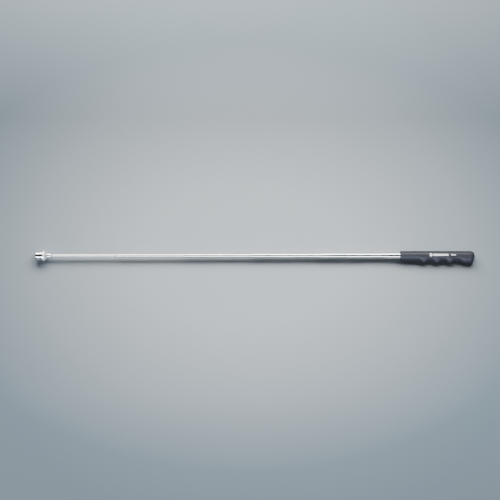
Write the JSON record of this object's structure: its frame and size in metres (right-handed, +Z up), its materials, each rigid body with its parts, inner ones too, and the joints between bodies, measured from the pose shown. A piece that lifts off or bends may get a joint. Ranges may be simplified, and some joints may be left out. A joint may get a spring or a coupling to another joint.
{
  "type": "magnetic pickup tool",
  "caption": "Telescopic pickup tool: a magnet head with a pull-off focusing cap on a slim metal mast of nested tubes that slide and turn, with a finger-grooved cushion grip.",
  "frame": {"origin": "centre of the magnet's working face, with the tool drawn out to its full length", "axes": "+X along the tool from the magnet to the grip, +Z up as the tool lies on a bench, finger lobes towards -Y"},
  "size_m": [0.8393, 0.0243, 0.0206],
  "materials": {
    "grip_vinyl": "satin moulded cushion vinyl, blue-black",
    "plug_plastic": "moulded",
    "tube_chrome": "bright plated steel tube",
    "head_chrome": "bright plated turned steel",
    "rivet_steel": "plain steel",
    "magnet_nickel": "nickel plate over a sintered magnet",
    "spacer_brass": "turned brass",
    "shell_bronze": "rolled phosphor bronze strip"
  },
  "bodies": {
    "handle": {"grip": "grip_vinyl", "end_plug": "plug_plastic", "tube_1": "tube_chrome"},
    "shells_2": {"shell_2_upper": "shell_bronze", "shell_2_lower": "shell_bronze"},
    "stage_2": {"tube_2": "tube_chrome"},
    "shells_3": {"shell_3_upper": "shell_bronze", "shell_3_lower": "shell_bronze"},
    "stage_3": {"tube_3": "tube_chrome"},
    "shells_4": {"shell_4_upper": "shell_bronze", "shell_4_lower": "shell_bronze"},
    "stage_4": {"tube_4": "tube_chrome"},
    "shells_5": {"shell_5_upper": "shell_bronze", "shell_5_lower": "shell_bronze"},
    "stage_5": {"tube_5": "tube_chrome"},
    "shells_6": {"shell_6_upper": "shell_bronze", "shell_6_lower": "shell_bronze"},
    "stage_6": {"tube_6": "tube_chrome", "neck_ferrule": "head_chrome", "head_rivet": "rivet_steel", "head_base": "head_chrome", "spacer_sleeve": "spacer_brass", "magnet": "magnet_nickel"},
    "cap": {"focus_cap": "head_chrome"}
  },
  "joints": [
    {"name": "stage_2_slide", "type": "slide", "parent": "handle", "child": "shells_2", "axis": [1, 0, 0], "range_m": [0, 0.1286]},
    {"name": "stage_2_turn", "type": "hinge", "parent": "shells_2", "child": "stage_2", "pos_m": [0.6835, 0, 0], "axis": [1, 0, 0], "continuous": true},
    {"name": "stage_3_slide", "type": "slide", "parent": "stage_2", "child": "shells_3", "axis": [1, 0, 0], "range_m": [0, 0.1286]},
    {"name": "stage_3_turn", "type": "hinge", "parent": "shells_3", "child": "stage_3", "pos_m": [0.5529, 0, 0], "axis": [1, 0, 0], "continuous": true},
    {"name": "stage_4_slide", "type": "slide", "parent": "stage_3", "child": "shells_4", "axis": [1, 0, 0], "range_m": [0, 0.1286]},
    {"name": "stage_4_turn", "type": "hinge", "parent": "shells_4", "child": "stage_4", "pos_m": [0.4223, 0, 0], "axis": [1, 0, 0], "continuous": true},
    {"name": "stage_5_slide", "type": "slide", "parent": "stage_4", "child": "shells_5", "axis": [1, 0, 0], "range_m": [0, 0.1286]},
    {"name": "stage_5_turn", "type": "hinge", "parent": "shells_5", "child": "stage_5", "pos_m": [0.2917, 0, 0], "axis": [1, 0, 0], "continuous": true},
    {"name": "stage_6_slide", "type": "slide", "parent": "stage_5", "child": "shells_6", "axis": [1, 0, 0], "range_m": [0, 0.1192]},
    {"name": "stage_6_turn", "type": "hinge", "parent": "shells_6", "child": "stage_6", "pos_m": [0.1611, 0, 0], "axis": [1, 0, 0], "continuous": true},
    {"name": "cap_pull", "type": "slide", "parent": "stage_6", "child": "cap", "axis": [-1, 0, 0], "range_m": [0, 0.025]}
  ]
}
